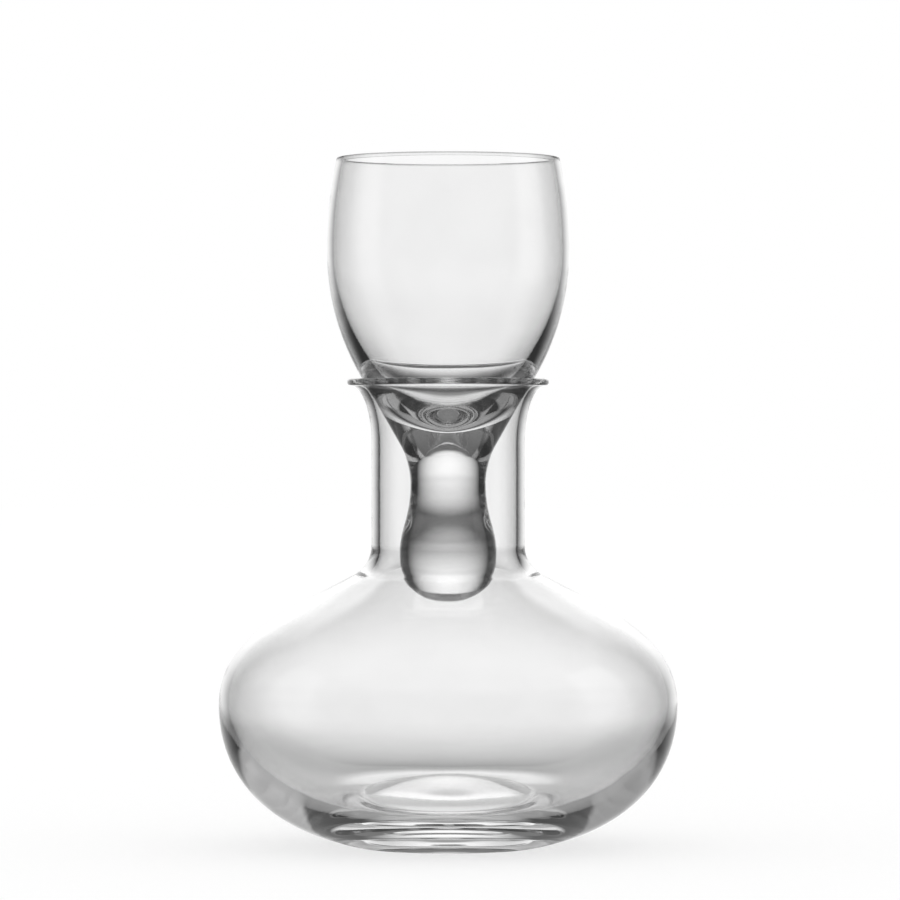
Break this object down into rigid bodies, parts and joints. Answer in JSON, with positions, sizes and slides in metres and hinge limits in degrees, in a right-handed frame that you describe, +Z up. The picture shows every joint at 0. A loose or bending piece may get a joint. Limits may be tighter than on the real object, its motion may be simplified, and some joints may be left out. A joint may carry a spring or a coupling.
{
  "type": "schnapps carafe with stopper glass",
  "caption": "Clear glass schnapps carafe with a squat round body and flared neck, closed by a stemmed schnapps glass that stands in the mouth.",
  "frame": {"origin": "centre of the carafe's resting ring, on the surface that it stands on", "axes": "+Z up along the common axis of carafe and glass; +X and +Y are free, because both pieces are round"},
  "size_m": [0.0974, 0.0974, 0.1462],
  "materials": {
    "carafe_glass": "clear colourless blown glass, fire polished",
    "stopper_glass": "clear colourless glass, thick and solid below the bowl, fire polished"
  },
  "bodies": {
    "carafe": {"carafe": "carafe_glass"},
    "glass": {"glass": "stopper_glass"}
  },
  "joints": [
    {"name": "glass_lift", "type": "slide", "parent": "carafe", "child": "glass", "axis": [0, 0, 1], "range_m": [0, 0.055]}
  ]
}
